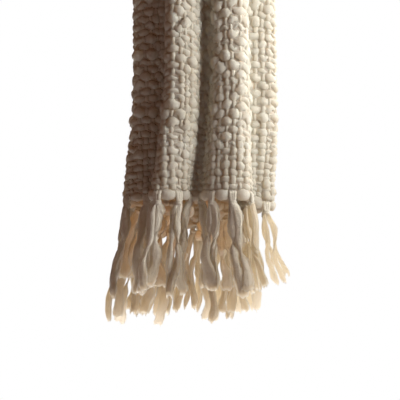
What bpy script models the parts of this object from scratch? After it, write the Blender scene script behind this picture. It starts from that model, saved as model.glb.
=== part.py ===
"""A chunky woven throw with knotted fringes, as it hangs in folds over a rail that is left out.

The throw is one thick cloth. Its two sides are turned in behind, its middle stands up in two ridges,
and the whole bundle passes over the rail, so that a front leg and a back leg hang down. Each end of
the cloth has a row of knots with loose tails of roving.

Frame: metres, +Z up, the front leg towards -Y. The origin is the middle of the bend's underside,
where the crown of the rail would touch it.
"""

from collections import namedtuple
import math

import bmesh
import bpy
from mathutils import Vector
import numpy as np

MM = 0.001

# The cloth
CLOTH_THICKNESS = 18 * MM
RAIL_GAP = 44 * MM                # clear width between the innermost layers, where the rail goes
BEND_RADIUS = RAIL_GAP / 2 + CLOTH_THICKNESS / 2
RAIL_CENTRE_Z = -RAIL_GAP / 2     # the crown of the rail is at z = 0
SELVAGE_BULGE = 5 * MM            # how far the rounded side edges stand out
FLARE = 3.0                       # the folds stay gathered near the rail and open towards the hem
LEAN = 4 * MM                     # how far a leg leans to the right below its middle
LEAN_FROM = 0.3                   # how far down the lean begins
WANDER = 3 * MM                   # how far a fold wanders sideways on its way down
WANDER_PER_FOLD = 2.3             # how much its wave differs from one fold to the next, in radians
WANDER_ALL_DOWN = 5.0             # how far its wave runs from the rail to the hem, in radians

# The grid
COLUMNS_PER_TAIL = 2              # a tail, then the gap beside it
TAILS = 36
COLUMNS = TAILS * COLUMNS_PER_TAIL
BEND_STEPS = 8
FRONT_ROWS = 7
BACK_ROWS = 7
SPLINE_STEPS = 24                 # points on the smooth section between two rows of the table
SHARP_EDGE_DEGREES = 50

# The fringe
EDGE_GAP = 0.5 * MM               # between the cloth's edge and the row of knots
KNOT_ROW_HEIGHT = 11 * MM
TAIL_ROOT_INSET = 1.2 * MM
TAIL_LENGTH = 178 * MM
TAIL_LENGTH_SPREAD = 14 * MM
TAIL_STAGGER = 6.5 * MM           # neighbouring tails hang this far in front of and behind the row
TAIL_SWAY = 3 * MM
TAIL_SPLAY = 0.17                 # how far the tails spread, as a share of their distance from the line below
SPLAYED_FROM = {"front": -14 * MM, "back": 40 * MM}
TAILS_SWAYING_TOGETHER = 6
STAGGERED_BY = 0.25               # how far down a tail is fully in front of or behind the row
TIGHTEST_TAIL = 0.35              # how narrow a tail gets where the hem bends sharply

# How a tail's width and thickness change on its way down
TailRing = namedtuple("TailRing", "down width thickness")
TAIL_RINGS = (
    TailRing(0.10, 13 * MM, 8 * MM),
    TailRing(0.28, 22 * MM, 9 * MM),
    TailRing(0.50, 15 * MM, 8 * MM),
    TailRing(0.78, 24 * MM, 9 * MM),
    TailRing(1.00, 18 * MM, 5 * MM),
)

# What pulls the section of the folded cloth along, from one side edge to the other, in millimetres.
# "across" is along X and "out" is the distance outwards from the innermost layer. They are given over
# the rail and at both hems. "drop" is how far below the rail's centre that point of the hem hangs.
Fold = namedtuple(
    "Fold",
    "name top_across top_out front_across front_out front_drop back_across back_out back_drop",
)
FOLDS = (
    Fold("left_selvage", 6, 0, -34, 0, 654, -56, 0, 708),
    Fold("left_return", -60, 0, -90, 0, 652, -100, 0, 706),
    Fold("left_turn_in", -124, 0, -142, 0, 642, -148, 0, 702),
    Fold("left_edge_back", -148, 3, -171, 3, 634, -176, 3, 700),
    Fold("left_edge_front", -148, 31, -171, 31, 626, -176, 31, 697),
    Fold("left_flap", -124, 35, -148, 35, 624, -154, 35, 694),
    Fold("left_flap_inner", -98, 35, -124, 35, 624, -132, 35, 692),
    Fold("left_crease", -71, 37, -101, 37, 622, -110, 37, 690),
    Fold("ridge_1_wall", -75, 62, -107, 70, 620, -116, 64, 688),
    Fold("ridge_1_left", -78, 90, -112, 104, 620, -120, 94, 686),
    Fold("ridge_1_crest", -50, 94, -80, 106, 620, -86, 104, 684),
    Fold("ridge_1_right", -15, 78, -38, 86, 620, -50, 86, 684),
    Fold("groove_left", -20, 54, -43, 57, 621, -56, 58, 686),
    Fold("groove", 3, 34, -20, 36, 622, -33, 36, 688),
    Fold("groove_right", 25, 54, 3, 58, 621, -10, 59, 686),
    Fold("ridge_2_left", 20, 75, -3, 86, 620, -17, 84, 684),
    Fold("ridge_2_crest", 50, 93, 44, 108, 620, 18, 104, 684),
    Fold("ridge_2_right", 86, 88, 97, 100, 621, 56, 92, 688),
    Fold("ridge_2_wall", 79, 62, 92, 68, 624, 50, 64, 692),
    Fold("right_crease", 75, 37, 87, 37, 630, 45, 37, 698),
    Fold("right_flap_inner", 100, 35, 106, 35, 636, 66, 35, 701),
    Fold("right_flap", 124, 35, 124, 35, 640, 82, 35, 703),
    Fold("right_edge_front", 148, 31, 144, 31, 642, 98, 31, 704),
    Fold("right_edge_back", 148, 3, 144, 3, 645, 98, 3, 705),
    Fold("right_turn_in", 124, 0, 120, 0, 649, 76, 0, 706),
    Fold("right_return", 84, 0, 86, 0, 655, 42, 0, 708),
    Fold("right_selvage", 34, 0, 20, 0, 662, -12, 0, 710),
)


def smooth_line(points):
    """A cubic B-spline that the points pull along, from the first of them to the last."""
    ends = np.vstack([2 * points[0] - points[1], points, 2 * points[-1] - points[-2]])
    t = np.linspace(0, 1, SPLINE_STEPS, endpoint=False)[:, None]
    spans = []
    for a, b, c, d in zip(ends[:-3], ends[1:-2], ends[2:-1], ends[3:]):
        spans.append(
            ((1 - t) ** 3 * a + (3 * t**3 - 6 * t**2 + 4) * b + (3 * (t + t**2 - t**3) + 1) * c + t**3 * d) / 6
        )
    return np.vstack([*spans, points[-1:]])


def even_steps(line, count):
    """The line's columns at count + 1 places, evenly spaced along its first two columns."""
    steps = np.hypot(*np.diff(line[:, :2], axis=0).T)
    along = np.concatenate([[0], np.cumsum(steps)])
    wanted = np.linspace(0, along[-1], count + 1)
    return np.column_stack([np.interp(wanted, along, column) for column in line.T])


def section(leg, down):
    """Rows of (across, out, drop) in metres along the cloth's middle, down from the rail (0) to the hem (1)."""
    opened = down**FLARE
    lean = LEAN * math.sin(math.pi * max(0.0, down - LEAN_FROM) / (1 - LEAN_FROM)) ** 2
    points = []
    for number, fold in enumerate(FOLDS):
        across, out, drop = (
            (fold.front_across, fold.front_out, fold.front_drop)
            if leg == "front"
            else (fold.back_across, fold.back_out, fold.back_drop)
        )
        wander = WANDER * opened * math.sin(WANDER_PER_FOLD * number + WANDER_ALL_DOWN * down)
        points.append(
            (
                MM * (fold.top_across + (across - fold.top_across) * opened) + wander + lean,
                MM * (fold.top_out + (out - fold.top_out) * opened),
                MM * drop,
            )
        )
    return even_steps(smooth_line(np.array(points)), COLUMNS)


def side_by_side(line):
    """The outline round a section: along its outer side, round the edge, and back along its inner side."""
    middle = line[:, :2]
    along = np.gradient(middle, axis=0)
    along /= np.linalg.norm(along, axis=1)[:, None]
    outward = np.column_stack([-along[:, 1], along[:, 0]])
    outer = middle + outward * CLOTH_THICKNESS / 2
    inner = middle - outward * CLOTH_THICKNESS / 2
    last_edge = middle[-1:] + along[-1:] * SELVAGE_BULGE
    first_edge = middle[:1] - along[:1] * SELVAGE_BULGE
    return np.vstack([outer, last_edge, inner[::-1], first_edge])


def placed(outline, turn, drops):
    """Points of an outline in the row frame: turn is 0 on the front leg, pi on the back leg."""
    across, out = outline.T
    reach = BEND_RADIUS + out
    return np.column_stack(
        [across, -math.cos(turn) * reach, RAIL_CENTRE_Z + math.sin(turn) * reach - drops]
    )


def round_trip(values):
    """One value for each point of side_by_side's outline, from one for each point of the section."""
    return np.concatenate([values, values[-1:], values[::-1], values[:1]])


def hem_drops(leg):
    return section(leg, 1.0)[:, 2]


def cloth_rings():
    """The outlines of the cloth from the front hem, over the rail, to the back hem."""
    rings = []
    for row in range(FRONT_ROWS, 0, -1):
        down = row / FRONT_ROWS
        outline = side_by_side(section("front", down))
        rings.append(placed(outline, 0.0, down * round_trip(hem_drops("front"))))
    over = side_by_side(section("front", 0.0))
    for step in range(BEND_STEPS + 1):
        rings.append(placed(over, math.pi * step / BEND_STEPS, 0.0))
    for row in range(1, BACK_ROWS + 1):
        down = row / BACK_ROWS
        outline = side_by_side(section("back", down))
        rings.append(placed(outline, math.pi, down * round_trip(hem_drops("back"))))
    return rings


def skin(mesh, rings):
    """Faces between the rings, each a closed loop of as many points. It returns the rings' vertices."""
    loops = [[mesh.verts.new(point) for point in ring] for ring in rings]
    size = len(loops[0])
    for below, above in zip(loops, loops[1:]):
        for i in range(size):
            j = (i + 1) % size
            mesh.faces.new((below[i], below[j], above[j], above[i]))
    return loops


def cap(mesh, loop):
    """Closes a ring across the cloth's thickness and returns its quads, one for each column."""
    side = COLUMNS + 1
    outer, edge, inner, first = loop[:side], loop[side], loop[side + 1 : -1][::-1], loop[-1]
    quads = [
        mesh.faces.new((outer[i], inner[i], inner[i + 1], outer[i + 1])) for i in range(COLUMNS)
    ]
    mesh.faces.new((outer[-1], inner[-1], edge))
    mesh.faces.new((inner[0], outer[0], first))
    return quads


def finish_object(name, mesh, colour, roughness):
    """Makes the bmesh an object with its own material, with its faces pointing out."""
    bmesh.ops.recalc_face_normals(mesh, faces=mesh.faces)
    data = bpy.data.meshes.new(name)
    mesh.to_mesh(data)
    mesh.free()
    data.shade_smooth()
    data.set_sharp_from_angle(angle=math.radians(SHARP_EDGE_DEGREES))
    material = bpy.data.materials.new(name)
    material.use_nodes = True
    shader = material.node_tree.nodes["Principled BSDF"]
    shader.inputs["Base Color"].default_value = (*colour, 1.0)
    shader.inputs["Roughness"].default_value = roughness
    shader.inputs["Metallic"].default_value = 0.0
    data.materials.append(material)
    made = bpy.data.objects.new(name, data)
    bpy.context.scene.collection.objects.link(made)
    return made


def make_cloth():
    mesh = bmesh.new()
    loops = skin(mesh, cloth_rings())
    cap(mesh, loops[0])
    cap(mesh, loops[-1])
    return finish_object("throw", mesh, colour=(0.80, 0.74, 0.62), roughness=0.95)


def uneven(number, turn):
    """A value from -1 to 1 that looks irregular from one tail to the next and is the same each run."""
    return math.sin(12.9 * number + 4.7 * turn + 0.6 * number * number)


def put_ring(face, centre, across, through, width, thickness):
    """Moves a four-sided ring to its centre, as wide and as thick as asked."""
    old_centre = face.calc_center_median()
    for vert in face.verts:
        arm = vert.co - old_centre
        side = math.copysign(width / 2, arm.dot(across))
        depth = math.copysign(thickness / 2, arm.dot(through))
        vert.co = centre + across * side + through * depth


def grow_tail(mesh, face, number, outer_side, inner_side, column_width, splayed_from):
    """Draws one four-sided tail down out of a face of the knot row, whose two long sides are given."""
    across = Vector(outer_side[1] - outer_side[0] + inner_side[1] - inner_side[0])
    across.z = 0
    across.normalize()
    through = Vector((-across.y, across.x, 0))
    if through.dot(Vector(outer_side[0] - inner_side[0])) < 0:
        through.negate()
    tightest_side = min(np.linalg.norm(side[1] - side[0]) for side in (outer_side, inner_side))
    room = min(1.0, max(TIGHTEST_TAIL, tightest_side / column_width))
    root = face.calc_center_median()
    bmesh.ops.inset_individual(mesh, faces=[face], thickness=TAIL_ROOT_INSET)
    length = TAIL_LENGTH + TAIL_LENGTH_SPREAD * uneven(number, 1)
    stagger = TAIL_STAGGER * room * (1 if number % 2 else -1)
    for ring in TAIL_RINGS:
        face = bmesh.ops.extrude_discrete_faces(mesh, faces=[face])["faces"][0]
        settled = min(1.0, ring.down / STAGGERED_BY)
        sway = TAIL_SWAY * ring.down * uneven(number // TAILS_SWAYING_TOGETHER, 2 + ring.down)
        centre = root + across * sway + through * stagger * settled
        centre.x += TAIL_SPLAY * ring.down * (root.x - splayed_from)
        centre.z = root.z - length * ring.down
        put_ring(face, centre, across, through, ring.width * room, ring.thickness)


def make_fringe(name, leg, turn, first_column):
    """The row of knots under one hem, with the loose tails that hang from it."""
    line = section(leg, 1.0)
    outline = side_by_side(line)
    drops = round_trip(hem_drops(leg))
    top = placed(outline, turn, drops + EDGE_GAP)
    bottom = placed(outline, turn, drops + EDGE_GAP + KNOT_ROW_HEIGHT)
    mesh = bmesh.new()
    loops = skin(mesh, [top, bottom])
    cap(mesh, loops[0])
    quads = cap(mesh, loops[-1])
    bmesh.ops.recalc_face_normals(mesh, faces=mesh.faces)
    column_width = np.hypot(*np.diff(line[:, :2], axis=0).T).mean()
    outer = bottom[: COLUMNS + 1]
    inner = bottom[COLUMNS + 2 : -1][::-1]
    for number in range(TAILS):
        i = number * COLUMNS_PER_TAIL + first_column
        sides = outer[i : i + 2], inner[i : i + 2]
        grow_tail(mesh, quads[i], number, *sides, column_width, SPLAYED_FROM[leg])
    return finish_object(name, mesh, colour=(0.84, 0.76, 0.62), roughness=0.9)


def main():
    for old in list(bpy.data.objects):
        bpy.data.objects.remove(old)
    make_cloth()
    make_fringe("fringe_front", "front", 0.0, first_column=1)
    make_fringe("fringe_back", "back", math.pi, first_column=0)


main()
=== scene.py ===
# %% [markdown]
# # A chunky woven throw that hangs in folds
#
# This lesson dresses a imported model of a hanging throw. The throw is hand-woven: thick cream roving
# runs across it (the weft) and swells into soft bobbles wherever it passes over a lengthwise yarn
# (the warp). Both ends finish in knots with long, loose tails.
#
# Everything is in metres with +Z up and the front towards -Y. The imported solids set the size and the
# folds, and each piece made here lies on them.

# %% Load the frame and keep its box
import math

import bpy
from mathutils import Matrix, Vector
import numpy as np


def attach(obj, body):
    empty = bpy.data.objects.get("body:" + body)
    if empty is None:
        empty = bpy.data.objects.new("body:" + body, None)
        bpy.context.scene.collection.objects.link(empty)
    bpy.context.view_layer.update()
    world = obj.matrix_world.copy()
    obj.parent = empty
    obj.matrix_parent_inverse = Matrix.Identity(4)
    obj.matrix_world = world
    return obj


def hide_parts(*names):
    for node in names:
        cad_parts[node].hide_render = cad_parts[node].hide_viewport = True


MM = 0.001
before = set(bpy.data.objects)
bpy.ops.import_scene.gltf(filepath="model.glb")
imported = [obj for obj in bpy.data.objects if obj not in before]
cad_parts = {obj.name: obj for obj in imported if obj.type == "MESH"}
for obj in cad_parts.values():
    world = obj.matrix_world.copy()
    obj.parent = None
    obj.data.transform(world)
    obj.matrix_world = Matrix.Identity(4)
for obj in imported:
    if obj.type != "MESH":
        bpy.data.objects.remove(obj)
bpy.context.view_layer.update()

# %% [markdown]
# ## The folds
#
# The cloth's cross-section is one wavy line: the side edges are turned in behind, a flap lies set
# back on the left, two ridges stand up in the middle, and a second flap closes the right side. The
# table gives what pulls that line along, in millimetres, over the rail and at both hems. "out" is
# the distance outwards from the innermost layer, and "drop" how far below the rail a point of the
# hem hangs. It could be drawn as a curve object, but a table is easier to compare with a photograph.

# %% The table of folds
FOLD_COLUMNS = ("top_across", "top_out", "front_across", "front_out", "front_drop",
                "back_across", "back_out", "back_drop")
FOLDS = {
    "left_selvage": (6, 0, -34, 0, 654, -56, 0, 708),
    "left_return": (-60, 0, -90, 0, 652, -100, 0, 706),
    "left_turn_in": (-124, 0, -142, 0, 642, -148, 0, 702),
    "left_edge_back": (-148, 3, -171, 3, 634, -176, 3, 700),
    "left_edge_front": (-148, 31, -171, 31, 626, -176, 31, 697),
    "left_flap": (-124, 35, -148, 35, 624, -154, 35, 694),
    "left_flap_inner": (-98, 35, -124, 35, 624, -132, 35, 692),
    "left_crease": (-71, 37, -101, 37, 622, -110, 37, 690),
    "ridge_1_wall": (-75, 62, -107, 70, 620, -116, 64, 688),
    "ridge_1_left": (-78, 90, -112, 104, 620, -120, 94, 686),
    "ridge_1_crest": (-50, 94, -80, 106, 620, -86, 104, 684),
    "ridge_1_right": (-15, 78, -38, 86, 620, -50, 86, 684),
    "groove_left": (-20, 54, -43, 57, 621, -56, 58, 686),
    "groove": (3, 34, -20, 36, 622, -33, 36, 688),
    "groove_right": (25, 54, 3, 58, 621, -10, 59, 686),
    "ridge_2_left": (20, 75, -3, 86, 620, -17, 84, 684),
    "ridge_2_crest": (50, 93, 44, 108, 620, 18, 104, 684),
    "ridge_2_right": (86, 88, 97, 100, 621, 56, 92, 688),
    "ridge_2_wall": (79, 62, 92, 68, 624, 50, 64, 692),
    "right_crease": (75, 37, 87, 37, 630, 45, 37, 698),
    "right_flap_inner": (100, 35, 106, 35, 636, 66, 35, 701),
    "right_flap": (124, 35, 124, 35, 640, 82, 35, 703),
    "right_edge_front": (148, 31, 144, 31, 642, 98, 31, 704),
    "right_edge_back": (148, 3, 144, 3, 645, 98, 3, 705),
    "right_turn_in": (124, 0, 120, 0, 649, 76, 0, 706),
    "right_return": (84, 0, 86, 0, 655, 42, 0, 708),
    "right_selvage": (34, 0, 20, 0, 662, -12, 0, 710),
}
fold_values = {
    column: np.array([row[i] for row in FOLDS.values()], float) * MM
    for i, column in enumerate(FOLD_COLUMNS)
}
CLOTH_THICKNESS = 18 * MM
RAIL_GAP = 44 * MM
BEND_RADIUS = RAIL_GAP / 2 + CLOTH_THICKNESS / 2
RAIL_CENTRE_Z = -RAIL_GAP / 2
FLARE = 3.0
LEAN = 4 * MM
LEAN_FROM = 0.3
WANDER = 3 * MM
WANDER_PER_FOLD = 2.3
WANDER_ALL_DOWN = 5.0


def smooth_line(points, steps=24):
    """A cubic B-spline that the points pull along, from the first of them to the last."""
    ends = np.vstack([2 * points[0] - points[1], points, 2 * points[-1] - points[-2]])
    t = np.linspace(0, 1, steps, endpoint=False)[:, None]
    spans = [
        ((1 - t) ** 3 * a + (3 * t**3 - 6 * t**2 + 4) * b + (3 * (t + t**2 - t**3) + 1) * c + t**3 * d) / 6
        for a, b, c, d in zip(ends[:-3], ends[1:-2], ends[2:-1], ends[3:])
    ]
    return np.vstack([*spans, points[-1:]])


def section(leg, down, count):
    """Rows of (across, out, drop) at even steps of the folded line, from the rail (0) to a hem (1)."""
    opened = down**FLARE
    number = np.arange(len(FOLDS))
    wander = WANDER * opened * np.sin(WANDER_PER_FOLD * number + WANDER_ALL_DOWN * down)
    value = fold_values
    lean = LEAN * math.sin(math.pi * max(0.0, down - LEAN_FROM) / (1 - LEAN_FROM)) ** 2
    across = value["top_across"] + (value[leg + "_across"] - value["top_across"]) * opened + wander + lean
    out = value["top_out"] + (value[leg + "_out"] - value["top_out"]) * opened
    line = smooth_line(np.column_stack([across, out, value[leg + "_drop"]]))
    along = np.concatenate([[0], np.cumsum(np.hypot(*np.diff(line[:, :2], axis=0).T))])
    wanted = np.linspace(0, along[-1], count)
    return np.column_stack([np.interp(wanted, along, column) for column in line.T])


# %% [markdown]
# ## A map of the cloth
#
# Yarn is easiest to place on flat cloth, so this map turns a place on the flat cloth into a place on
# the hanging one. `u` runs across from one side edge to the other and `v` along from the front hem,
# over the rail, to the back hem. `lift` is a distance outwards. Where the cloth turns sharply, the
# inside of the turn is squeezed, so a lift towards the inside is eased off there.

# %% Build the map
ACROSS_STEPS = 420
LEG_STEPS = 28
BEND_STEPS = 40
ALONG_STEPS = 640
STEPS_PAST_EDGE = 12
EASE_INWARD = 0.9


def middle_surface():
    """The middle of the cloth on a grid (along, across), evenly spaced along every lengthwise line."""
    rows = []
    for down in np.linspace(1, 0, LEG_STEPS, endpoint=False):
        across, out, drop = section("front", down, ACROSS_STEPS).T
        rows.append(np.column_stack([across, -(BEND_RADIUS + out), RAIL_CENTRE_Z - down * drop]))
    across, out, _ = section("front", 0.0, ACROSS_STEPS).T
    for turn in np.linspace(0, math.pi, BEND_STEPS):
        reach = BEND_RADIUS + out
        rows.append(
            np.column_stack([across, -math.cos(turn) * reach, RAIL_CENTRE_Z + math.sin(turn) * reach])
        )
    for down in np.linspace(1, 0, LEG_STEPS, endpoint=False)[::-1]:
        across, out, drop = section("back", down, ACROSS_STEPS).T
        rows.append(np.column_stack([across, BEND_RADIUS + out, RAIL_CENTRE_Z - down * drop]))
    rough = np.array(rows)
    steps = np.linalg.norm(np.diff(rough, axis=0), axis=2)
    lengths = np.vstack([np.zeros(ACROSS_STEPS), np.cumsum(steps, axis=0)])
    even = np.empty((ALONG_STEPS, ACROSS_STEPS, 3))
    for i in range(ACROSS_STEPS):
        wanted = np.linspace(0, lengths[-1, i], ALONG_STEPS)
        for axis in range(3):
            even[:, i, axis] = np.interp(wanted, lengths[:, i], rough[:, i, axis])
    return even


def unit(vectors):
    return vectors / np.maximum(np.linalg.norm(vectors, axis=-1, keepdims=True), 1e-12)


surface = middle_surface()
surface_u = np.gradient(surface, axis=1)
surface_v = np.gradient(surface, axis=0)
surface_normal = unit(np.cross(surface_u, surface_v))
bend_u = (np.gradient(surface_normal, axis=1) * surface_u).sum(2) / (surface_u**2).sum(2)
bend_v = (np.gradient(surface_normal, axis=0) * surface_v).sum(2) / (surface_v**2).sum(2)
cloth_length = np.linalg.norm(np.diff(surface, axis=0), axis=2).sum(0)
cloth_width = np.linalg.norm(np.diff(surface, axis=1), axis=2).sum(1)
for name, size in (("length", cloth_length), ("width", cloth_width)):
    print(f"cloth {name} {size.min():.2f} to {size.max():.2f} m, mean {size.mean():.2f}")


def sample(grid, u, v):
    """A value of the grid between its points, carried on straight just past its edges."""
    past = STEPS_PAST_EDGE
    x = np.clip(np.asarray(u, float) * (ACROSS_STEPS - 1), -past, ACROSS_STEPS - 1 + past)
    y = np.clip(np.asarray(v, float) * (ALONG_STEPS - 1), -past, ALONG_STEPS - 1 + past)
    i = np.clip(np.floor(x).astype(int), 0, ACROSS_STEPS - 2)
    j = np.clip(np.floor(y).astype(int), 0, ALONG_STEPS - 2)
    a, b = (x - i), (y - j)
    if grid.ndim == 3:
        a, b = a[..., None], b[..., None]
    near = grid[j, i] * (1 - a) + grid[j, i + 1] * a
    far = grid[j + 1, i] * (1 - a) + grid[j + 1, i + 1] * a
    return near * (1 - b) + far * b


def on_cloth(u, v, lift):
    """The place in the air of a point of the flat cloth, and the outward direction there."""
    normal = unit(sample(surface_normal, u, v))
    squeeze = np.maximum(-lift * sample(bend_u, u, v), -lift * sample(bend_v, u, v))
    eased = lift / (1 + EASE_INWARD * np.maximum(squeeze, 0))
    return sample(surface, u, v) + normal * np.asarray(eased)[..., None], normal


# %% [markdown]
# ## Yarn as closed tubes
#
# A yarn is a tube swept along a path, with its own width and thickness at every ring. Blender's
# curve bevel makes round tubes only, so the rings are laid out here: one mesh can then hold a whole
# set of yarns, flattened where they are pressed. Each tube carries a UV map in metres, along and
# around, which the fibre pattern follows.

# %% The tube builder
def smooth_noise(random, count, reach):
    """Uneven values around 0, about 1 strong, that change over a stretch of `reach` steps."""
    raw = random.normal(size=count + 6 * reach)
    kernel = np.exp(-0.5 * (np.arange(-3 * reach, 3 * reach + 1) / reach) ** 2)
    soft = np.convolve(raw, kernel / np.sqrt((kernel**2).sum()), mode="valid")
    return soft[:count]


def path_directions(centres, normals):
    """For each ring, the direction across the yarn and the one out of the cloth."""
    tangent = unit(np.gradient(centres, axis=0))
    across = unit(np.cross(tangent, normals))
    return across, np.cross(across, tangent)


def tube_rings(centres, across, outward, half_width, half_thickness, sides, lumps=None):
    angle = 2 * math.pi * np.arange(sides) / sides
    lumps = 1.0 if lumps is None else lumps
    x = half_width[:, None] * np.cos(angle)[None] * lumps
    y = half_thickness[:, None] * np.sin(angle)[None] * lumps
    return centres[:, None] + across[:, None] * x[..., None] + outward[:, None] * y[..., None]


def cap_corners(sides):
    """The faces that close a tube's end, as strips across it, so that a ragged end stays ragged."""
    half = sides // 2
    strips = [[i, i + 1, sides - i - 1, sides - i] for i in range(1, half - 1)]
    return [[0, 1, sides - 1], *strips, [half - 1, half, half + 1]]


def joined_tubes(name, tubes, material, thin=()):
    """One object from many closed tubes, each an array (rings, sides, 3), and how thin each point is."""
    points, quads, caps, quad_uvs, cap_uvs = [], [], [], [], []
    start = 0
    for tube in tubes:
        rings, sides = tube.shape[:2]
        points.append(tube.reshape(-1, 3))
        index = start + np.arange(rings * sides).reshape(rings, sides)
        right = np.roll(index, -1, axis=1)
        quads.append(np.stack([index[:-1], right[:-1], right[1:], index[1:]], axis=-1).reshape(-1, 4))
        middle = tube.mean(axis=1)
        along = np.concatenate([[0], np.cumsum(np.linalg.norm(np.diff(middle, axis=0), axis=1))])
        girth = np.linalg.norm(np.roll(tube, -1, axis=1) - tube, axis=2).sum(axis=1).mean()
        around = girth * np.arange(sides + 1) / sides
        low, high = np.meshgrid(along[:-1], around[:-1], indexing="ij")
        next_low, next_high = np.meshgrid(along[1:], around[1:], indexing="ij")
        corners = [(low, high), (low, next_high), (next_low, next_high), (next_low, high)]
        quad_uvs.append(np.stack([np.stack(c, -1) for c in corners], axis=2).reshape(-1, 2))
        for corners in cap_corners(sides):
            caps += [index[0][corners[::-1]], index[-1][corners]]
            cap_uvs.append([(along[0], around[c]) for c in corners[::-1]])
            cap_uvs.append([(along[-1], around[c]) for c in corners])
        start += rings * sides
    mesh = bpy.data.meshes.new(name)
    mesh.from_pydata(
        np.vstack(points), [], [*np.vstack(quads).tolist(), *[cap.tolist() for cap in caps]]
    )
    layer = mesh.uv_layers.new(name="yarn")
    layer.data.foreach_set("uv", np.vstack([*quad_uvs, *cap_uvs]).astype(np.float32).ravel())
    if len(thin):
        values = np.concatenate([value.ravel() for value in thin]).astype(np.float32)
        mesh.attributes.new("thin", "FLOAT", "POINT").data.foreach_set("value", values)
    mesh.shade_smooth()
    mesh.materials.append(material)
    made = bpy.data.objects.new(name, mesh)
    bpy.context.scene.collection.objects.link(made)
    print(f"{name}: {len(tubes)} tubes, {sum(len(f.vertices) - 2 for f in mesh.polygons)} triangles")
    return made


# %% [markdown]
# ## Wool
#
# Undyed wool is cream and quite matt. Seen close, roving has fine fibres that run along it, and the
# light that passes through a tail comes out amber. One node group makes the fibres from the yarn's
# own UV map, and the crumples and the slow change of tone from the place on the throw.

# %% The wool fibre group
def wool_fibre_group():
    """Inputs: Light wool, Dark wool, Along, Around, Crumple. Outputs: Colour, Height."""
    tree = bpy.data.node_groups.new("wool fibre", "ShaderNodeTree")
    socket = tree.interface.new_socket
    for name, default in (("Light wool", (0.8, 0.75, 0.65, 1)), ("Dark wool", (0.6, 0.5, 0.4, 1))):
        socket(name, in_out="INPUT", socket_type="NodeSocketColor").default_value = default
    for name, default in (("Along", 60.0), ("Around", 900.0), ("Crumple", 120.0)):
        socket(name, in_out="INPUT", socket_type="NodeSocketFloat").default_value = default
    socket("Colour", in_out="OUTPUT", socket_type="NodeSocketColor")
    socket("Height", in_out="OUTPUT", socket_type="NodeSocketFloat")
    nodes, link = tree.nodes, tree.links.new
    given, result = nodes.new("NodeGroupInput"), nodes.new("NodeGroupOutput")
    uv = nodes.new("ShaderNodeUVMap")
    uv.uv_map = "yarn"
    scale = nodes.new("ShaderNodeCombineXYZ")
    link(given.outputs["Along"], scale.inputs["X"])
    link(given.outputs["Around"], scale.inputs["Y"])
    stretched = nodes.new("ShaderNodeVectorMath")
    stretched.operation = "MULTIPLY"
    link(uv.outputs["UV"], stretched.inputs[0])
    link(scale.outputs["Vector"], stretched.inputs[1])
    fibres = nodes.new("ShaderNodeTexNoise")
    fibres.inputs["Scale"].default_value = 1.0
    fibres.inputs["Detail"].default_value = 4.0
    fibres.inputs["Roughness"].default_value = 0.65
    fibres.inputs["Distortion"].default_value = 0.6
    link(stretched.outputs["Vector"], fibres.inputs["Vector"])
    place = nodes.new("ShaderNodeTexCoord")
    crumple = nodes.new("ShaderNodeTexNoise")
    crumple.inputs["Detail"].default_value = 3.0
    crumple.inputs["Distortion"].default_value = 0.8
    link(place.outputs["Object"], crumple.inputs["Vector"])
    link(given.outputs["Crumple"], crumple.inputs["Scale"])
    height = nodes.new("ShaderNodeMath")
    height.operation = "MULTIPLY_ADD"
    height.inputs[1].default_value = 2.5
    link(crumple.outputs["Fac"], height.inputs[0])
    link(fibres.outputs["Fac"], height.inputs[2])
    tone = nodes.new("ShaderNodeTexNoise")
    tone.inputs["Scale"].default_value = 16.0
    tone.inputs["Detail"].default_value = 3.0
    link(place.outputs["Object"], tone.inputs["Vector"])
    both = nodes.new("ShaderNodeMath")
    both.operation = "MULTIPLY"
    link(fibres.outputs["Fac"], both.inputs[0])
    link(tone.outputs["Fac"], both.inputs[1])
    spread = nodes.new("ShaderNodeMapRange")
    spread.inputs["From Min"].default_value = 0.12
    spread.inputs["From Max"].default_value = 0.36
    link(both.outputs["Value"], spread.inputs["Value"])
    mix = nodes.new("ShaderNodeMix")
    mix.data_type = "RGBA"
    link(spread.outputs["Result"], mix.inputs["Factor"])
    link(given.outputs["Dark wool"], mix.inputs[6])
    link(given.outputs["Light wool"], mix.inputs[7])
    link(mix.outputs[2], result.inputs["Colour"])
    link(height.outputs["Value"], result.inputs["Height"])
    return tree


fibre_group = wool_fibre_group()
print("wool fibre group:", len(fibre_group.nodes), "nodes")

# %% [markdown]
# Each material has a Principled BSDF for what the wool sends back, mixed with a Translucent BSDF for
# what it lets through. A point attribute, `thin`, runs from 0 to 1 on the tails: where a tail is
# thin, more light comes through and less of it turns amber, which gives the pale, bright rims. The
# woven yarns have no such attribute and let the same share through everywhere.

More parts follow.
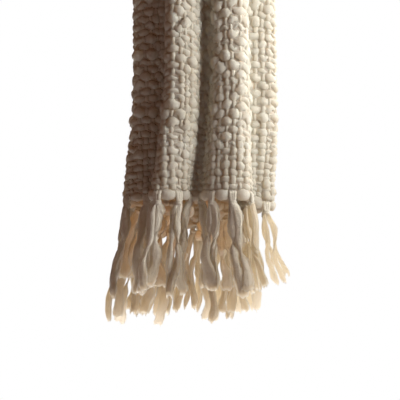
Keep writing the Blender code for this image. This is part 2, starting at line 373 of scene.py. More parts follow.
# %% The four wools
def wool(name, light, dark, through, share_through, share_edge, sheen, along, around, crumple, depth):
    """A wool material: cream in front, amber where light passes through, most of all where it is thin."""
    material = bpy.data.materials.new(name)
    material.use_nodes = True
    nodes, link = material.node_tree.nodes, material.node_tree.links.new
    shader = nodes["Principled BSDF"]
    shader.inputs["Roughness"].default_value = 0.95
    shader.inputs["Specular IOR Level"].default_value = 0.12
    shader.inputs["Sheen Weight"].default_value = sheen
    shader.inputs["Sheen Roughness"].default_value = 0.3
    fibre = nodes.new("ShaderNodeGroup")
    fibre.node_tree = fibre_group
    fibre.inputs["Light wool"].default_value = (*light, 1)
    fibre.inputs["Dark wool"].default_value = (*dark, 1)
    fibre.inputs["Along"].default_value = along
    fibre.inputs["Around"].default_value = around
    fibre.inputs["Crumple"].default_value = crumple
    bump = nodes.new("ShaderNodeBump")
    bump.inputs["Strength"].default_value = 0.8
    bump.inputs["Distance"].default_value = depth
    link(fibre.outputs["Height"], bump.inputs["Height"])
    link(fibre.outputs["Colour"], shader.inputs["Base Color"])
    link(bump.outputs["Normal"], shader.inputs["Normal"])
    thin = nodes.new("ShaderNodeAttribute")
    thin.attribute_name = "thin"
    tint = nodes.new("ShaderNodeMix")
    tint.data_type = "RGBA"
    tint.inputs[6].default_value = (*through, 1)
    tint.inputs[7].default_value = (*LOOSE_FIBRE_COLOUR, 1)
    link(thin.outputs["Fac"], tint.inputs["Factor"])
    translucent = nodes.new("ShaderNodeBsdfTranslucent")
    link(tint.outputs[2], translucent.inputs["Color"])
    share = nodes.new("ShaderNodeMapRange")
    share.inputs["To Min"].default_value = share_through
    share.inputs["To Max"].default_value = share_edge
    link(thin.outputs["Fac"], share.inputs["Value"])
    both = nodes.new("ShaderNodeMixShader")
    link(share.outputs["Result"], both.inputs["Fac"])
    link(shader.outputs["BSDF"], both.inputs[1])
    link(translucent.outputs["BSDF"], both.inputs[2])
    link(both.outputs["Shader"], nodes["Material Output"].inputs["Surface"])
    return material


LOOSE_FIBRE_COLOUR = (1.0, 0.985, 0.95)
weave_wool = wool(
    "cream_weave_wool", light=(0.87, 0.895, 0.84), dark=(0.78, 0.775, 0.69), through=(0.97, 0.76, 0.48),
    share_through=0.38, share_edge=0.38, sheen=0.25, along=70, around=700, crumple=180, depth=0.7 * MM,
)
neck_wool = wool(
    "cream_warp_wool", light=(0.86, 0.875, 0.81), dark=(0.74, 0.72, 0.62), through=(0.97, 0.76, 0.48),
    share_through=0.38, share_edge=0.38, sheen=0.25, along=90, around=1100, crumple=220, depth=0.6 * MM,
)
roving_wool = wool(
    "cream_roving_wool", light=(0.91, 0.87, 0.76), dark=(0.81, 0.755, 0.635), through=(0.98, 0.775, 0.43),
    share_through=0.13, share_edge=0.95, sheen=1.0, along=26, around=620, crumple=110, depth=1.8 * MM,
)
ground_wool = wool(
    "cream_ground_wool", light=(0.84, 0.85, 0.77), dark=(0.74, 0.72, 0.62), through=(0.95, 0.6, 0.26),
    share_through=0.38, share_edge=0.38, sheen=0.25, along=300, around=300, crumple=260, depth=0.9 * MM,
)

# %% [markdown]
# ## The ground of the cloth
#
# A sheet 7 mm thick lies on the folds, in the middle of the cloth's thickness. It holds the yarns and
# closes the small gaps between them. It is made as a grid with `bpy.ops`, laid on the map, and given
# its thickness with a Solidify modifier. Light that gets through the cloth has to pass it, and so
# the ground gives that light its amber.

# %% Lay the sheet on the folds
SHEET_THICKNESS = 7 * MM
SHEET_STEPS = (90, 120)


def laid_sheet(name, steps, thickness, material):
    bpy.ops.object.select_all(action="DESELECT")
    bpy.ops.mesh.primitive_grid_add(x_subdivisions=steps[0], y_subdivisions=steps[1], size=1)
    made = bpy.context.object
    made.name = made.data.name = name
    flat = np.empty(len(made.data.vertices) * 3)
    made.data.vertices.foreach_get("co", flat)
    u, v = flat.reshape(-1, 3)[:, 0] + 0.5, flat.reshape(-1, 3)[:, 1] + 0.5
    laid, _ = on_cloth(u, v, np.zeros_like(u))
    made.data.vertices.foreach_set("co", laid.ravel())
    made.data.uv_layers[0].name = "yarn"
    solidify = made.modifiers.new("thickness", "SOLIDIFY")
    solidify.thickness = thickness
    solidify.offset = 0
    bpy.ops.object.modifier_apply(modifier="thickness")
    bpy.ops.object.shade_smooth()
    made.data.materials.append(material)
    return made


ground = laid_sheet("throw_ground", SHEET_STEPS, SHEET_THICKNESS, ground_wool)
print("throw_ground:", len(ground.data.polygons), "faces")

# %% [markdown]
# ## The lattice of crossings
#
# The yarn is thick and thin along its length. Where it is thick it takes more room, so every row of
# weft is as far from the next as the two are thick there. That gives the wavy, crowded rows of a
# hand-woven throw, and it is worked out once, as a table of places and sizes for all crossings. Near
# the hems the weft is thinner and the warp thicker, so the lattice shows, and so it does, a little
# less, on the right-hand flap.

# %% Work out where the yarns cross
WARPS = 54
WEFTS = 100
HEM_MARGIN = 14 * MM
FINER_FROM, FINER_OVER = 82 * MM, 20 * MM
random = np.random.default_rng(7)
warp_pitch = cloth_width.mean() / WARPS
weft_pitch = cloth_length.mean() / WEFTS
print(f"warp pitch {warp_pitch / MM:.1f} mm, weft pitch {weft_pitch / MM:.1f} mm")


def crossing_table():
    """For each crossing (weft, warp): its place on the flat cloth, and how thick and tilted the weft is."""
    slow = smooth_noise(random, WEFTS * WARPS, 2).reshape(WEFTS, WARPS)
    quick = random.normal(size=(WEFTS, WARPS))
    thick = np.clip(1.0 + 0.2 * slow + 0.17 * quick, 0.5, 1.6)
    from_hem = np.minimum(np.arange(WEFTS), np.arange(WEFTS)[::-1])
    thick *= np.interp(from_hem, [0, 5, 8], [0.80, 0.84, 1.0])[:, None]
    room = 0.3 + 0.7 * thick
    kernel = np.array([1, 2, 3, 2, 1]) / 9
    padded = np.pad(room, ((0, 0), (2, 2)), mode="edge")
    room = sum(w * padded[:, i : i + WARPS] for i, w in enumerate(kernel))
    ends = np.vstack([np.zeros(WARPS), np.cumsum(room, axis=0)])
    margin = HEM_MARGIN / cloth_length.mean()
    v = margin + (1 - 2 * margin) * 0.5 * (ends[1:] + ends[:-1]) / ends[-1]
    sway = np.column_stack([smooth_noise(random, WEFTS, 5) for _ in range(WARPS)])
    u = (np.arange(WARPS) + 0.5)[None] / WARPS + 0.12 / WARPS * np.clip(sway, -2, 2)
    tilt = 0.16 * np.clip(random.normal(size=(WEFTS, WARPS)), -2, 2)
    return u, v, thick, tilt


crossing_u, crossing_v, weft_thick, weft_tilt = crossing_table()
warp_thick = np.clip(
    1.0 + 0.25 * np.column_stack([smooth_noise(random, WEFTS, 2) for _ in range(WARPS)]), 0.5, 1.6
)
rows_from_hem = np.minimum(np.arange(WEFTS), np.arange(WEFTS)[::-1])
warp_thick *= np.interp(rows_from_hem, [0, 5, 9], [1.3, 1.25, 1.0])[:, None]
crossing_x = sample(surface, crossing_u, crossing_v)[..., 0]
finer = np.clip((crossing_x - FINER_FROM) / FINER_OVER, 0, 1)
weft_thick *= 1 - 0.12 * finer
warp_thick *= 1 + 0.2 * finer

# %% [markdown]
# ## Weft: the bobbles
#
# Each weft row passes over one warp and under the next. Its path rises and sinks like a cosine, and
# it is widest at each crossing and nipped between two of them, which makes the round bobbles. At
# a side edge the yarn turns back into the next row. Where the outermost folds turn, the bobbles
# stand out further, and that is what makes the outline of the throw knobbly. The rows are shared
# out over three pieces.

# %% Weave the weft
WEFT_LIFT = 3.3 * MM
WEFT_HALF_WIDTH = 0.63 * weft_pitch
WEFT_HALF_THICKNESS = 6.3 * MM
WEFT_TURN = 15 * MM
OUTERMOST_FROM, OUTERMOST_OVER = 120 * MM, 15 * MM
WEFT_LUMPS = 0.055
WEFT_SIDES = 10
WEFT_PIECES = 3
RING_OFFSETS = np.array([-0.42, -0.21, 0.0, 0.21, 0.42])


def between(table, row, warp):
    """A value of the crossing table between the warps of one row."""
    return np.interp(warp, np.arange(WARPS), table[row])


def weft_row(row):
    """Arrays along one row: u, v, lift, half width and half thickness."""
    warp = (np.arange(WARPS)[:, None] + RING_OFFSETS[None]).ravel()
    inside = np.clip(warp, 0, WARPS - 1)
    u = between(crossing_u, row, inside) + (warp - inside) / WARPS
    tilt = between(weft_tilt, row, np.round(inside)) * np.sin(2 * math.pi * (warp - np.round(inside)))
    v = between(crossing_v, row, inside) + tilt / WEFTS
    thick = between(weft_thick, row, inside)
    over = np.cos(math.pi * warp) * (-1) ** row
    nip = 0.87 + 0.13 * np.cos(2 * math.pi * warp)
    puff = 1.03 - 0.03 * np.cos(2 * math.pi * warp)
    turned = np.clip(2 * WEFT_TURN * sample(bend_u, u, v) - 1, 0, 1)
    turned *= np.clip((np.abs(sample(surface, u, v)[..., 0]) - OUTERMOST_FROM) / OUTERMOST_OVER, 0, 1)
    lift = WEFT_LIFT * over * (0.5 + 0.5 * thick) * (1 + 0.3 * turned)
    width = WEFT_HALF_WIDTH * thick * nip * (1 - 0.12 * turned)
    thickness = WEFT_HALF_THICKNESS * (0.3 + 0.7 * thick) * puff * (1 + 0.3 * turned)
    return np.column_stack([u, v, lift, width, thickness])


def weft_run(rows):
    """The rows joined end to end, with a turn at each side edge."""
    run = []
    for row in rows:
        line = weft_row(row)
        if row % 2:
            line = line[::-1]
        if run:
            last, first = run[-1][-1], line[0]
            side = 1 if last[0] > 0.5 else -1
            for part in (0.25, 0.5, 0.75):
                turn = last + (first - last) * part
                turn[0] += side * 0.45 / WARPS * math.sin(math.pi * part)
                turn[2] = 0
                run.append(turn[None])
        run.append(line)
    return np.vstack(run)


def lumpy(random, rings, sides, amount):
    """Small uneven swellings, so that no two bobbles are alike."""
    return 1 + amount * np.clip(random.normal(size=(rings, sides)), -2, 2)


def cloth_tube(run, sides, random, amount):
    """The rings of a yarn whose path, width and thickness are given on the flat cloth."""
    centres, normals = on_cloth(run[:, 0], run[:, 1], run[:, 2])
    across, outward = path_directions(centres, normals)
    lumps = lumpy(random, len(run), sides, amount)
    return tube_rings(centres, across, outward, run[:, 3], run[:, 4], sides, lumps)


weft_pieces = []
for number, rows in enumerate(np.array_split(np.arange(WEFTS), WEFT_PIECES)):
    tube = cloth_tube(weft_run(rows), WEFT_SIDES, random, WEFT_LUMPS)
    weft_pieces.append(joined_tubes(f"weft_{number + 1}", [tube], weave_wool))

# %% [markdown]
# ## Warp: the necks
#
# The warps run lengthwise and pass the other way at each crossing. They are thinner, so only short
# necks of them show between the bobbles.

# %% Weave the warp
WARP_LIFT = 3.6 * MM
WARP_HALF_WIDTH = 5.4 * MM
WARP_HALF_THICKNESS = 4.3 * MM
WARP_SIDES = 6
WARP_PIECES = 2
WARP_RINGS = np.array([-0.33, 0.0, 0.33])
WARP_LUMPS = 0.03


def warp_line(warp):
    """Arrays along one warp: u, v, lift, half width and half thickness."""
    row = (np.arange(WEFTS)[:, None] + WARP_RINGS[None]).ravel()
    inside = np.clip(row, 0, WEFTS - 1)
    rows = np.arange(WEFTS)
    u = np.interp(inside, rows, crossing_u[:, warp])
    v = np.interp(inside, rows, crossing_v[:, warp]) + (row - inside) / WEFTS
    thick = np.interp(inside, rows, warp_thick[:, warp])
    lift = -WARP_LIFT * np.cos(math.pi * row) * (-1) ** warp
    nip = 0.92 + 0.08 * np.cos(2 * math.pi * row)
    return np.column_stack([u, v, lift, WARP_HALF_WIDTH * thick * nip, WARP_HALF_THICKNESS * thick])


warp_pieces = []
for number, warps in enumerate(np.array_split(np.arange(WARPS), WARP_PIECES)):
    tubes = [cloth_tube(warp_line(warp), WARP_SIDES, random, WARP_LUMPS) for warp in warps]
    warp_pieces.append(joined_tubes(f"warp_{number + 1}", tubes, neck_wool))

# %% [markdown]
# ## Hems: bobbles between the knots
#
# At each hem three warps are drawn together into a knot. Between two knots the last weft bulges out
# into one large bobble, a pillow that is longer here and shorter there. Its rings crowd towards the
# bobble's ends, so that the ends are round.

# %% The last weft of each hem
WARPS_PER_KNOT = 3
KNOTS = WARPS // WARPS_PER_KNOT
HEM_HALF_WIDTH = 11.5 * MM
HEM_HALF_THICKNESS = 8.0 * MM
HEM_LIFT = 2.5 * MM
HEM_RINGS_PER_NUB = 13
HEM_NUB_REACH = (0.27, 0.43)
HEM_SIDES = 14
HEM_LUMPS = 0.03
HEM_INSET = 5 * MM
HEMS = {"front": 0.0, "back": 1.0}


def hem_weft(hem):
    """Arrays along the last weft of a hem, one bobble between every two knots."""
    edge = HEMS[hem]
    turn = np.linspace(-math.pi / 2, math.pi / 2, HEM_RINGS_PER_NUB)
    reach = random.uniform(*HEM_NUB_REACH, size=KNOTS + 1)
    knot = (np.arange(KNOTS + 1)[:, None] + reach[:, None] * np.sin(turn)[None]).ravel()
    swell = np.tile(np.cos(turn), KNOTS + 1)
    size = (0.55 + 1.2 * reach) * random.uniform(0.85, 1.15, size=KNOTS + 1)
    size = np.repeat(size, HEM_RINGS_PER_NUB)
    u = np.clip(knot, -0.2, KNOTS + 0.2) / KNOTS
    lift = HEM_LIFT * (3.4 * swell - 2.4)
    v = np.full_like(u, edge) + (1 if edge == 0 else -1) * HEM_INSET / cloth_length.mean()
    width = HEM_HALF_WIDTH * size * (0.28 + 0.8 * swell)
    return np.column_stack([u, v, lift, width, HEM_HALF_THICKNESS * size * (0.28 + 0.8 * swell)])


hem_pieces = []
for hem in HEMS:
    tube = cloth_tube(hem_weft(hem), HEM_SIDES, random, HEM_LUMPS)
    hem_pieces.append(joined_tubes(f"hem_weft_{hem}", [tube], weave_wool))

# %% [markdown]
# ## Knots
#
# Three warps meet in each knot: they run together over the hem and down, and a strand of roving is
# wound round them.

# %% Make the knots
KNOT_DROP = 13 * MM
KNOT_HALF_WIDTH = 4.8 * MM
KNOT_TURNS = 1.6
STRAND_REACH = 11 * MM
STRAND_HALF_WIDTH = 4.8 * MM
STRAND_LIFT = 6.5 * MM
STRAND_RINGS = 9
KNOT_OUT = 2.5 * MM
WOUND_RINGS = 22
WOUND_HEIGHT = 7 * MM
WOUND_HALF_WIDTH, WOUND_END_HALF_WIDTH = 4.3 * MM, 1.5 * MM
KNOT_SIDES = 8
DOWN = np.array([0, 0, -1.0])


def knot_place(hem, knot):
    """Where a knot hangs: u along the hem, its place, and the level directions along the hem and out."""
    u = (knot * WARPS_PER_KNOT + WARPS_PER_KNOT / 2) / WARPS
    place = sample(surface, np.array([u]), np.array([HEMS[hem]]))[0]
    outward = sample(surface_normal, np.array([u]), np.array([HEMS[hem]]))[0]
    outward[2] = 0
    outward = unit(outward)
    return u, place, np.cross(outward, [0, 0, 1.0]), outward


def knot_tubes(hem, knot):
    """The warps that run together into a knot, and the turns of roving round them."""
    u, place, along, outward = knot_place(hem, knot)
    inward = 1 if HEMS[hem] == 0 else -1
    part = np.linspace(0, 1, STRAND_RINGS)
    tubes = []
    for warp in range(WARPS_PER_KNOT):
        start = (knot * WARPS_PER_KNOT + warp + 0.5) / WARPS
        path_u = start + (u - start) * (0.6 + 0.25 * part)
        path_v = HEMS[hem] + inward * STRAND_REACH * (1 - part) / cloth_length.mean()
        lift = STRAND_LIFT * np.sin(math.pi * (0.15 + 0.6 * part))
        centres, normals = on_cloth(path_u, path_v, lift)
        centres += DOWN * (KNOT_DROP * np.clip(1.6 * part - 0.6, 0, 1))[:, None]
        width = STRAND_HALF_WIDTH * (0.8 + 0.2 * part)
        directions = path_directions(centres, normals)
        tubes.append(tube_rings(centres, *directions, width, 0.8 * width, KNOT_SIDES))
    turn = np.linspace(0, 2 * math.pi * KNOT_TURNS, WOUND_RINGS)
    middle = place + outward * KNOT_OUT + DOWN * (KNOT_DROP * 0.6)
    ring = (
        middle
        + along * (np.cos(turn) * KNOT_HALF_WIDTH)[:, None]
        + outward * (np.sin(turn) * KNOT_HALF_WIDTH * 0.9)[:, None]
        + DOWN * np.linspace(0, WOUND_HEIGHT, len(turn))[:, None]
    )
    size = np.full(len(turn), WOUND_HALF_WIDTH)
    size[[0, -1]] = WOUND_END_HALF_WIDTH
    directions = path_directions(ring, unit(ring - middle))
    tubes.append(tube_rings(ring, *directions, size, size, KNOT_SIDES))
    return tubes


# %% [markdown]
# ## Tails
#
# Two tails of loose roving leave each knot. A tail is a long soft pillow, pinched where it has
# twisted over, puffed out above and below that, widest near its end and frayed there. Along each edge
# it thins out to a lip of loose fibre. No two tails are alike, so all of this is drawn by chance from
# a seed of its own, and the seed can be changed to hang the fringe another way.

# %% The outline and the section of a tail
TAIL_SEED = 5
TAILS_PER_KNOT = 2
TAIL_RINGS = 46
TAIL_SIDES = 20
TAIL_LENGTH = {"front": 188 * MM, "back": 184 * MM}
TAIL_HALF_WIDTH = {"front": 11.7 * MM, "back": 10.5 * MM}
TAIL_HALF_THICKNESS = 6.5 * MM
WIDTH_DOWN = (
    (0, 0.04, 0.1, 0.3, 0.55, 0.8, 0.93, 0.98, 1),
    (0.42, 0.7, 0.96, 1.0, 0.92, 1.15, 1.25, 1.12, 0.85),
)
THICKNESS_DOWN = ((0, 0.9, 0.96, 1), (1, 0.95, 0.6, 0.2))
PINCHES = (0.35, 0.55, 0.7, 0.82)
TAIL_SECTION = ((1.0, 0.0), (0.82, 0.07), (0.74, 0.45), (0.55, 0.78), (0.30, 0.96), (0.0, 1.0))


def tail_outline(down, half_width, random):
    """A tail's half width and half thickness on its way down, and how far it has twisted."""
    pinch_at = random.uniform(0.26, 0.6)
    pinch = random.choice(PINCHES)
    reach = random.uniform(0.06, 0.12)
    twist = 0.5 + 0.5 * np.tanh((down - pinch_at) / 0.07)
    above, below = random.uniform(0.72, 1.22, size=2)
    shape = np.interp(down, *WIDTH_DOWN) * (1 - pinch * np.exp(-(((down - pinch_at) / reach) ** 2)))
    width = half_width * (above + (below - above) * twist) * shape
    thickness = TAIL_HALF_THICKNESS * np.clip(0.6 + 0.4 / shape, 0.8, 1.3)
    thickness = np.minimum(thickness, width) * np.interp(down, *THICKNESS_DOWN)
    return width, thickness, twist


def tail_section():
    """A tail's section: a soft pillow with a thin lip of loose fibre along each edge."""
    quarter = np.array(TAIL_SECTION)
    half = np.vstack([quarter, quarter[-2::-1] * [-1, 1]])
    return np.vstack([half, half[-2:0:-1] * [1, -1]]).T


# %% [markdown]
# The path of a tail starts in its knot and goes down. The two tails of a knot hang beside each other,
# one a little in front. On the way down they splay out with the folds. Below the groove the tails of
# the two ridges part. The tails of the right-hand flap are narrower, shorter and further apart, and
# the ones on the edges that are turned in behind are shorter too.

# %% The path of a tail
TAILS_APART = 13 * MM
TAILS_APART_IN_KNOT = 4 * MM
TAILS_APART_VARIES = 4 * MM
TAILS_LAYERED = 4.5 * MM
TAILS_LAYERED_VARIES = 1.5 * MM
TAIL_SWAY = 5 * MM
TAIL_SPLAY = {"front": 0.19, "back": 0.17}
SPLAYED_FROM = {"front": -14 * MM, "back": 40 * MM}
SHORTER_FROM, SHORTER_TO, SHORTER_BY = 70 * MM, 120 * MM, 0.17
NARROWER_BY, APART_BY = 2.6, 4.0
TURNED_IN_WITHIN = 25 * MM
TURNED_IN_SHORTER_BY = {"front": 0.2, "back": 0.05}
GROOVE_X, GROOVE_REACH, PARTED_BY = -30 * MM, 36 * MM, 15 * MM
PARTED_IN_FRONT_OF = -60 * MM


def tail_path(hem, number, knot, place, along, outward, down, random):
    """The middle of a tail on its way down, and the share by which a tail here is narrower."""
    narrower = SHORTER_BY * np.clip((place[0] - SHORTER_FROM) / (SHORTER_TO - SHORTER_FROM), 0, 1)
    turned_in = np.clip(1 - (abs(place[1]) - BEND_RADIUS) / TURNED_IN_WITHIN, 0, 1)
    shorter = narrower + TURNED_IN_SHORTER_BY[hem] * turned_in
    length = TAIL_LENGTH[hem] * (1 + 0.05 * np.clip(random.normal(), -1.7, 1.3) - shorter)
    side = number - (TAILS_PER_KNOT - 1) / 2
    tied = side * TAILS_APART_IN_KNOT
    spread = side * (TAILS_APART + TAILS_APART_VARIES * random.normal()) * (1 + APART_BY * narrower)
    layer = TAILS_LAYERED if (number + knot) % 2 else -TAILS_LAYERED
    layer += TAILS_LAYERED_VARIES * random.normal()
    leave = 1 - np.exp(-down * 8)
    lean = TAIL_SWAY * random.normal() * down**1.5
    free = TAIL_SWAY * np.clip(2 * down, 0, 1)
    wave = free * np.sin(2 * math.pi * (1.3 * down + random.random()))
    bow = free * np.sin(2 * math.pi * (1.1 * down + random.random()))
    centres = (
        place
        + outward * KNOT_OUT
        + along * (tied + (spread - tied) * leave + wave + lean)[:, None]
        + outward * (layer * leave + bow)[:, None]
        + DOWN * (KNOT_DROP * 0.75 + length * down)[:, None]
    )
    centres[:, 0] += TAIL_SPLAY[hem] * down * (place[0] - SPLAYED_FROM[hem])
    from_groove = (place[0] - GROOVE_X) / GROOVE_REACH
    if place[1] < PARTED_IN_FRONT_OF:
        centres[:, 0] += PARTED_BY * leave * math.copysign(max(0.0, 1 - abs(from_groove)), from_groove)
    return centres, NARROWER_BY * narrower


# %% [markdown]
# A tail turns to face the front as it hangs, and some turn over altogether at the pinch. Its section
# then gets a curl, a long crease, soft lumps and two uneven edges, and the last rings are frayed.

# %% The rings of a tail
FACE_FRONT = 0.8
TURNS_AT_PINCH = (-math.pi, 0, 0, 0, math.pi)
CURL, CREASE, LUMPS, EDGES, RAGGED = 0.16, 0.06, 0.09, 0.13, 0.06
FRAY, FRAY_FINE = 2.4 * MM, 0.5 * MM
HEM_SIDE = {"front": 1, "back": -1}


def soft_grid(random, rings, sides, reach):
    """Uneven values around 0 that change slowly along a tail and from one side of it to the next."""
    grid = np.column_stack([smooth_noise(random, rings, reach) for _ in range(sides)])
    return (np.roll(grid, 1, axis=1) + 2 * grid + np.roll(grid, -1, axis=1)) / 2.45


def tail_rings(hem, knot, number, random):
    """One tail of roving, as a closed tube with its own pinches, twists and frayed end."""
    _, place, along, outward = knot_place(hem, knot)
    down = np.linspace(0, 1, TAIL_RINGS)
    width, thickness, twist = tail_outline(down, TAIL_HALF_WIDTH[hem], random)
    centres, narrower = tail_path(hem, number, knot, place, along, outward, down, random)
    width *= 1 - narrower
    facing = math.atan2(-outward[0] * HEM_SIDE[hem], along[0] * HEM_SIDE[hem])
    facing = (facing + math.pi / 2) % math.pi - math.pi / 2
    turned = facing * FACE_FRONT + 0.3 * random.normal() + random.choice(TURNS_AT_PINCH)
    angle = 0.25 * random.normal() + turned * twist
    across = np.cos(angle)[:, None] * along + np.sin(angle)[:, None] * outward
    through = -np.sin(angle)[:, None] * along + np.cos(angle)[:, None] * outward
    part, bulge = tail_section()
    curl = random.uniform(-CURL, CURL) * np.interp(down, [0, 0.2, 1], [0, 1, 1])
    phase = 2 * math.pi * random.random() + 3 * down
    crease = CREASE * np.sin(2.6 * math.pi * part[None] + phase[:, None]) * (1 - 0.4 * part[None] ** 2)
    bent = curl[:, None] * (part[None] ** 2 - 0.4) + crease * np.interp(down, [0, 0.1], [0, 1])[:, None]
    lumps = 1 + LUMPS * soft_grid(random, TAIL_RINGS, TAIL_SIDES, 2)
    left, right = (EDGES * smooth_noise(random, TAIL_RINGS, 2)[:, None] for _ in range(2))
    edges = 1 + left * (1 - part[None]) / 2 + right * (1 + part[None]) / 2
    x = width[:, None] * part[None] * lumps * edges
    x[:, [0, TAIL_SIDES // 2]] *= 1 + RAGGED * np.clip(random.normal(size=(TAIL_RINGS, 2)), -1.5, 1.5)
    y = thickness[:, None] * bulge[None] * lumps + width[:, None] * bent
    rings = centres[:, None] + across[:, None] * x[..., None] + through[:, None] * y[..., None]
    half = TAIL_SIDES // 2 + 1
    fray = FRAY * smooth_noise(random, half, 1) + FRAY_FINE * random.normal(size=half)
    fray = np.concatenate([fray, fray[1:-1][::-1]])
    for ring, share in ((-1, 1.0), (-2, 0.75), (-3, 0.45), (-4, 0.2)):
        rings[ring, :, 2] += share * fray
    return rings


# %% [markdown]
# The attribute `thin` is 1 along the lips and at the frayed end. Elsewhere a tail is dense near its
# knot and looser further down, the back tails more than the front ones, and the tails of the
# right-hand flap most of all: light from behind shows through them.

# %% How thin a tail is
THIN_ACROSS = ((0.74, 0.82, 1.0), (0, 0.8, 1))
THIN_DOWN = ((0.93, 0.99), (0, 1))
LOOSENESS = {"front": 0.05, "back": 0.3}
LOOSER_DOWN = ((0.0, 0.4, 0.8), (0.1, 0.5, 1.5))
LOOSER_BY = 0.6


def tail_thinness(hem, knot, random):
    """How thin a tail is at each of its points: 1 at the lips of its edges and at its frayed end."""
    down = np.linspace(0, 1, TAIL_RINGS)
    edge = np.interp(np.abs(tail_section()[0]), *THIN_ACROSS)
    end = np.interp(down, *THIN_DOWN)
    loose = LOOSENESS[hem] * random.uniform(0, 2) * np.interp(down, *LOOSER_DOWN)
    loose += LOOSER_BY * np.clip((knot_place(hem, knot)[1][0] - FINER_FROM) / FINER_OVER, 0, 1)
    return np.maximum(np.maximum(edge[None], end[:, None]), loose[:, None])


# %% Tie the knots and hang the tails
fringe_pieces = []
random = np.random.default_rng(TAIL_SEED)
for hem in HEMS:
    tubes, thin = [], []
    for knot in range(KNOTS):
        tied = knot_tubes(hem, knot)
        tubes += tied
        thin += [np.zeros(tube.shape[:2]) for tube in tied]
        tubes += [tail_rings(hem, knot, number, random) for number in range(TAILS_PER_KNOT)]
        thin += [tail_thinness(hem, knot, random) for _ in range(TAILS_PER_KNOT)]
    fringe_pieces.append(joined_tubes(f"tails_{hem}", tubes, roving_wool, thin))

# %% [markdown]
# ## Riding and replacing
#
# The imported model is one body, so every piece rides on `root`. The yarns stand for the cloth's solid
# and the tails for the two fringes.

# %% Ride and replace
yarns = [*weft_pieces, *warp_pieces, *hem_pieces]
for piece in (ground, *yarns, *fringe_pieces):
    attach(piece, "root")
for piece in (ground, *yarns):
    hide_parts("throw")
for piece, node in zip(fringe_pieces, ("fringe_front", "fringe_back")):
    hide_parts(node)

# %% [markdown]
# ## Floor, light and camera
#
# The photograph was taken against a bright white background: light comes from behind and from the
# right, and the left side stays in shade. The world gives the light from behind: it is bright behind
# and on the right, dim and warm in front, and plain white where the camera looks past the throw.

# %% The pale floor
FLOOR_Z = -1.75
bpy.ops.object.select_all(action="DESELECT")
bpy.ops.mesh.primitive_circle_add(vertices=96, radius=3.0, fill_type="NGON", location=(0, 0, FLOOR_Z))
floor = bpy.context.object
floor.name = "floor"
bpy.ops.object.transform_apply(location=True)
floor_paint = bpy.data.materials.new("pale_floor")
floor_paint.use_nodes = True
floor_shader = floor_paint.node_tree.nodes["Principled BSDF"]
floor_shader.inputs["Base Color"].default_value = (0.9, 0.9, 0.9, 1)
floor_shader.inputs["Roughness"].default_value = 0.9
floor.data.materials.append(floor_paint)

# %% The light from behind
WINDOW_DIRECTION = (0.5, 0.83, -0.24)
ROOM_COLOUR = (0.052, 0.0185, 0.0078, 1)
WINDOW_COLOUR = (1.0, 1.0, 1.0, 1)
world = bpy.data.worlds.new("white studio")
bpy.context.scene.world = world
world.use_nodes = True
nodes, link = world.node_tree.nodes, world.node_tree.links.new
nodes.clear()
direction = nodes.new("ShaderNodeTexCoord")
towards = nodes.new("ShaderNodeVectorMath")
towards.operation = "DOT_PRODUCT"
towards.inputs[1].default_value = WINDOW_DIRECTION
link(direction.outputs["Generated"], towards.inputs[0])
window = nodes.new("ShaderNodeMapRange")
window.interpolation_type = "SMOOTHSTEP"
window.inputs["From Min"].default_value = -0.15
window.inputs["From Max"].default_value = 0.85
link(towards.outputs["Value"], window.inputs["Value"])
room = nodes.new("ShaderNodeMix")
room.data_type = "RGBA"
room.inputs[6].default_value = ROOM_COLOUR
room.inputs[7].default_value = WINDOW_COLOUR
link(window.outputs["Result"], room.inputs["Factor"])
lighting = nodes.new("ShaderNodeBackground")
link(room.outputs[2], lighting.inputs["Color"])
lighting.inputs["Strength"].default_value = 1.5
backdrop = nodes.new("ShaderNodeBackground")
backdrop.inputs["Color"].default_value = WINDOW_COLOUR
rays = nodes.new("ShaderNodeLightPath")
chosen = nodes.new("ShaderNodeMixShader")
link(rays.outputs["Is Camera Ray"], chosen.inputs["Fac"])
link(lighting.outputs["Background"], chosen.inputs[1])
link(backdrop.outputs["Background"], chosen.inputs[2])
link(chosen.outputs["Shader"], nodes.new("ShaderNodeOutputWorld").inputs["Surface"])


# %% [markdown]
# Area lamps do the rest. The key stands on the right and a little in front, so it grazes the folds and
# every bobble has its own shade. A narrow lamp nearer to the front brightens the second ridge and the
# right-hand flap alone. The floor sends light up behind and below the fringe, and a weak warm fill
# keeps the left flap from going black. Two small amber lamps between the layers stand for light that
# passes through the cloth and is caught between its two sides: one lamp for the front of the back
# hem and one for the folds behind it. No lamp is seen by the camera.

# %% The lamps
def soft_light(name, place, aim, size, power, colour, spread=180):
    """A rectangular lamp at one place, aimed at another, with its spread in degrees."""
    light = bpy.data.lights.new(name, "AREA")
    light.shape = "RECTANGLE"
    light.size, light.size_y = size
    light.energy = power
    light.color = colour
    light.spread = math.radians(spread)
    lamp = bpy.data.objects.new(name, light)
    bpy.context.scene.collection.objects.link(lamp)
    lamp.location = place
    lamp.rotation_euler = (Vector(aim) - Vector(place)).to_track_quat("-Z", "Y").to_euler()
    lamp.visible_camera = False
    return lamp


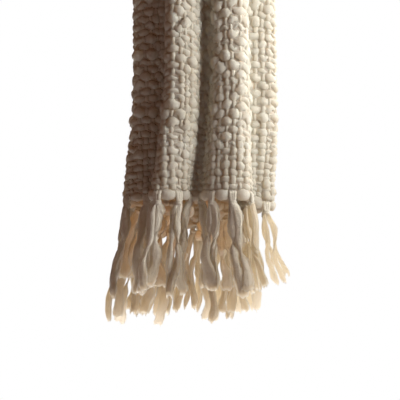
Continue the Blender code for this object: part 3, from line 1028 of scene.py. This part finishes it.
COOL_WHITE, WARM_WHITE = (1.0, 1.0, 0.96), (1.0, 0.95, 0.9)
PEACH, AMBER = (1.0, 0.6, 0.42), (1.0, 0.42, 0.08)
soft_light("key_right", (0.76, -0.37, -0.05), (0.14, -0.1, -0.32), (0.85, 0.9), 4.7, COOL_WHITE, 95)
soft_light("front_right", (0.66, -0.66, -0.25), (0.11, -0.1, -0.27), (0.1, 0.75), 0.13, COOL_WHITE, 22)
soft_light("fill_left", (-0.85, -0.42, -0.4), (-0.13, -0.1, -0.48), (0.5, 1.0), 0.12, PEACH)
soft_light("floor_bounce", (-0.1, 0.75, -1.4), (-0.02, 0.0, -0.85), (1.8, 0.9), 12, WARM_WHITE)
soft_light("below", (0.0, -0.1, -1.55), (0.0, -0.1, -0.9), (0.6, 0.2), 0.3, (1.0, 0.96, 1.0), 60)
soft_light("glow_between", (-0.055, -0.05, -0.72), (-0.055, 0.07, -0.74), (0.24, 0.2), 0.025, AMBER)
soft_light("glow_behind", (-0.03, 0.0, -0.68), (-0.03, 0.1, -0.69), (0.12, 0.14), 0.02, AMBER)

# %% [markdown]
# The camera looks level at the front hem from 2.6 m through a long lens. The photograph is 400 pixels
# wide, and one of its pixels stands for 2.1 mm at the folds nearest to the camera.

# %% The camera
PHOTO_WIDTH = 400
METRES_PER_PIXEL = 2.1 * MM
PHOTO_X_OF_MIDDLE = 205
PHOTO_Y_OF_HEM = 197
HEM_BELOW_RAIL = 620 * MM
HEM_Z = RAIL_CENTRE_Z - HEM_BELOW_RAIL
CAMERA_DISTANCE = 2.6
SENSOR_WIDTH = 36
FRONT_PLANE_Y = -0.13
camera_data = bpy.data.cameras.new("camera")
camera_data.sensor_width = SENSOR_WIDTH
camera_data.lens = SENSOR_WIDTH * CAMERA_DISTANCE / (PHOTO_WIDTH * METRES_PER_PIXEL)
camera = bpy.data.objects.new("camera", camera_data)
bpy.context.scene.collection.objects.link(camera)
camera.location = (
    (PHOTO_WIDTH / 2 - PHOTO_X_OF_MIDDLE) * METRES_PER_PIXEL,
    FRONT_PLANE_Y - CAMERA_DISTANCE,
    HEM_Z - (PHOTO_WIDTH / 2 - PHOTO_Y_OF_HEM) * METRES_PER_PIXEL,
)
camera.rotation_euler = (math.radians(90), 0, 0)
bpy.context.scene.camera = camera
bpy.context.scene.view_settings.view_transform = "Standard"
